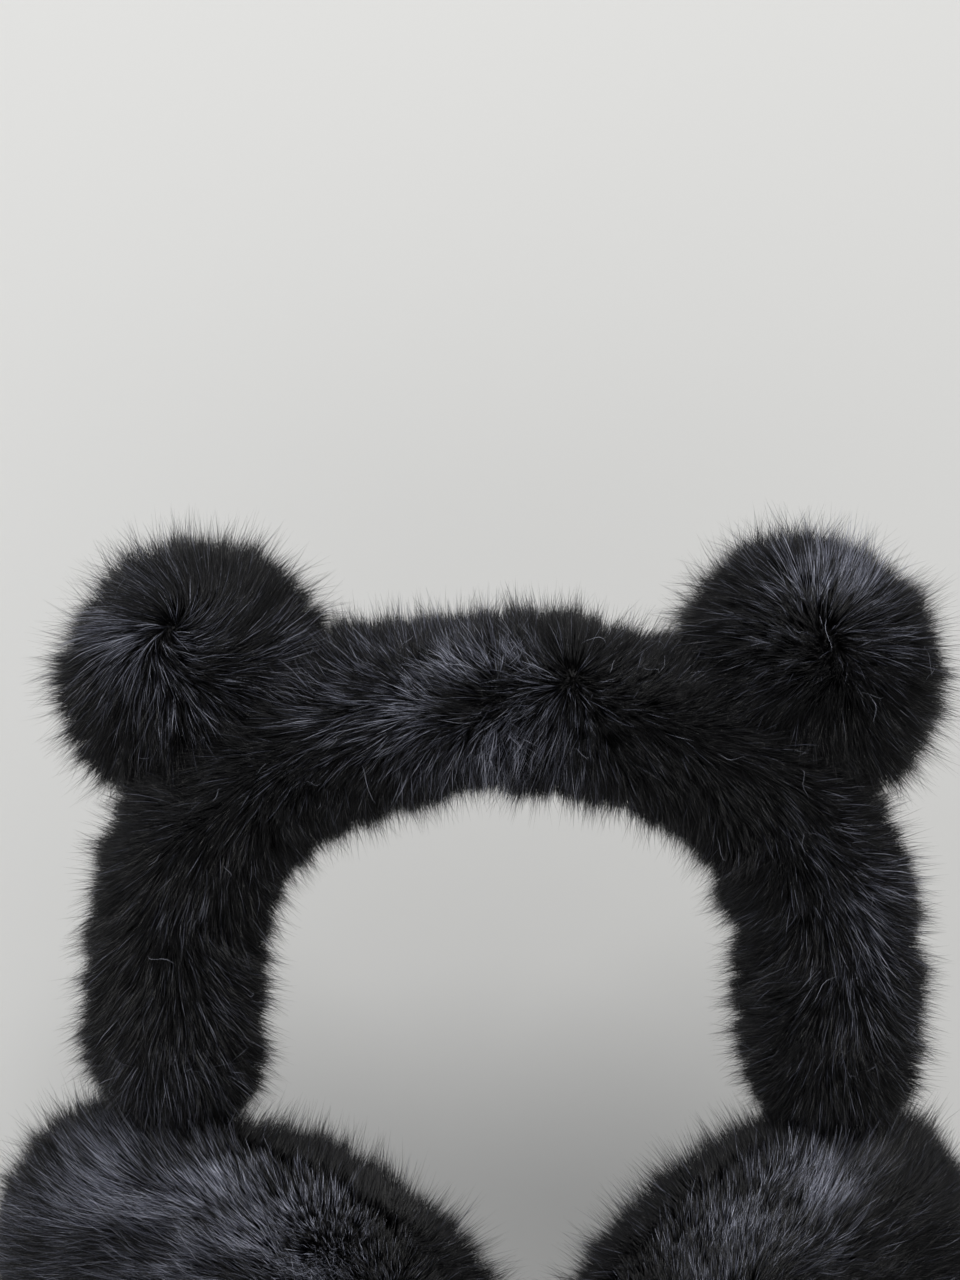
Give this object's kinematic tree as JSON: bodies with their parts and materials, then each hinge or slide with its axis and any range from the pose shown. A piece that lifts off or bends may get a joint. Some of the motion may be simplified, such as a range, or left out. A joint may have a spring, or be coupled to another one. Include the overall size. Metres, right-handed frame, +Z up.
{
  "type": "plush bear ear earmuff headband",
  "caption": "Arched faux-fur headband with round stuffed bear ears on its corners and large hinged, swivelling fur ear pads on telescoping arms.",
  "frame": {"origin": "middle of the head opening, level with the points where the arch runs into its two straight arms", "axes": "+Z up to the crown, +X to the right seen from the front, front at -Y"},
  "size_m": [0.2497, 0.1125, 0.2599],
  "materials": {
    "black_fur": "long-pile black faux fur",
    "wadding": "polyester fibre filling",
    "foam": "open-cell foam sheet",
    "felt": "pressed felt",
    "cord": "twisted cord",
    "tape": "woven tape",
    "board": "stiff moulded board",
    "band_plastic": "moulded black plastic",
    "washer_plastic": "natural nylon",
    "steel": "plain steel",
    "spring_steel": "drawn spring wire"
  },
  "bodies": {
    "crown": {"crown_band": "band_plastic", "crown_padding": "wadding", "crown_cover": "black_fur", "shoulder_pin_right": "steel", "shoulder_spring_right": "spring_steel", "shoulder_pin_left": "steel", "shoulder_spring_left": "spring_steel"},
    "ear_right": {"ear_front_cover_right": "black_fur", "ear_back_cover_right": "black_fur", "ear_stuffing_right": "wadding", "ear_base_disc_right": "felt", "ear_tab_right": "tape"},
    "arm_right": {"arm_channel_right": "band_plastic", "stop_screw_right": "steel", "arm_padding_right": "wadding", "arm_cover_right": "black_fur"},
    "slider_right": {"slider_bar_right": "band_plastic", "slider_padding_right": "wadding", "slider_cover_right": "black_fur"},
    "yoke_right": {"swivel_pin_right": "steel", "swivel_washer_right": "washer_plastic", "swivel_yoke_right": "band_plastic", "tilt_pin_right": "steel"},
    "pad_right": {"pad_plate_right": "board", "pad_outer_cover_right": "black_fur", "pad_outer_stuffing_right": "wadding", "pad_inner_cover_right": "black_fur", "pad_inner_cushion_right": "foam", "pad_drawcord_right": "cord"},
    "ear_left": {"ear_front_cover_left": "black_fur", "ear_back_cover_left": "black_fur", "ear_stuffing_left": "wadding", "ear_base_disc_left": "felt", "ear_tab_left": "tape"},
    "arm_left": {"arm_channel_left": "band_plastic", "stop_screw_left": "steel", "arm_padding_left": "wadding", "arm_cover_left": "black_fur"},
    "slider_left": {"slider_bar_left": "band_plastic", "slider_padding_left": "wadding", "slider_cover_left": "black_fur"},
    "yoke_left": {"swivel_pin_left": "steel", "swivel_washer_left": "washer_plastic", "swivel_yoke_left": "band_plastic", "tilt_pin_left": "steel"},
    "pad_left": {"pad_plate_left": "board", "pad_outer_cover_left": "black_fur", "pad_outer_stuffing_left": "wadding", "pad_inner_cover_left": "black_fur", "pad_inner_cushion_left": "foam", "pad_drawcord_left": "cord"}
  },
  "joints": [
    {"name": "right_ear_flop", "type": "hinge", "parent": "crown", "child": "ear_right", "pos_m": [0.06897, 0, 0.06104], "axis": [0.7986, 0, -0.6018], "range_deg": [-12, 12], "stiffness_Nm_per_rad": 0.03},
    {"name": "right_shoulder_spread", "type": "hinge", "parent": "crown", "child": "arm_right", "pos_m": [0.07951, 0, 0.01515], "axis": [0, -1, 0], "range_deg": [0, 15], "stiffness_Nm_per_rad": 0.6},
    {"name": "right_size_slide", "type": "slide", "parent": "arm_right", "child": "slider_right", "axis": [0, 0, -1], "range_m": [0, 0.018]},
    {"name": "right_pad_swivel", "type": "hinge", "parent": "slider_right", "child": "yoke_right", "pos_m": [0.0815, 0, -0.0442], "axis": [0, 0, 1], "range_deg": [-40, 60]},
    {"name": "right_pad_tilt", "type": "hinge", "parent": "yoke_right", "child": "pad_right", "pos_m": [0.0815, 0, -0.0505], "axis": [-0.766, -0.6428, 0], "range_deg": [-12, 36]},
    {"name": "left_ear_flop", "type": "hinge", "parent": "crown", "child": "ear_left", "pos_m": [-0.06897, 0, 0.06104], "axis": [-0.7986, 0, -0.6018], "range_deg": [-12, 12], "stiffness_Nm_per_rad": 0.03},
    {"name": "left_shoulder_spread", "type": "hinge", "parent": "crown", "child": "arm_left", "pos_m": [-0.07951, 0, 0.01515], "axis": [0, 1, 0], "range_deg": [0, 15], "stiffness_Nm_per_rad": 0.6},
    {"name": "left_size_slide", "type": "slide", "parent": "arm_left", "child": "slider_left", "axis": [0, 0, -1], "range_m": [0, 0.018]},
    {"name": "left_pad_swivel", "type": "hinge", "parent": "slider_left", "child": "yoke_left", "pos_m": [-0.0815, 0, -0.0442], "axis": [0, 0, -1], "range_deg": [-26, 74]},
    {"name": "left_pad_tilt", "type": "hinge", "parent": "yoke_left", "child": "pad_left", "pos_m": [-0.0815, 0, -0.0505], "axis": [-0.8988, 0.4384, 0], "range_deg": [-2, 46]}
  ]
}
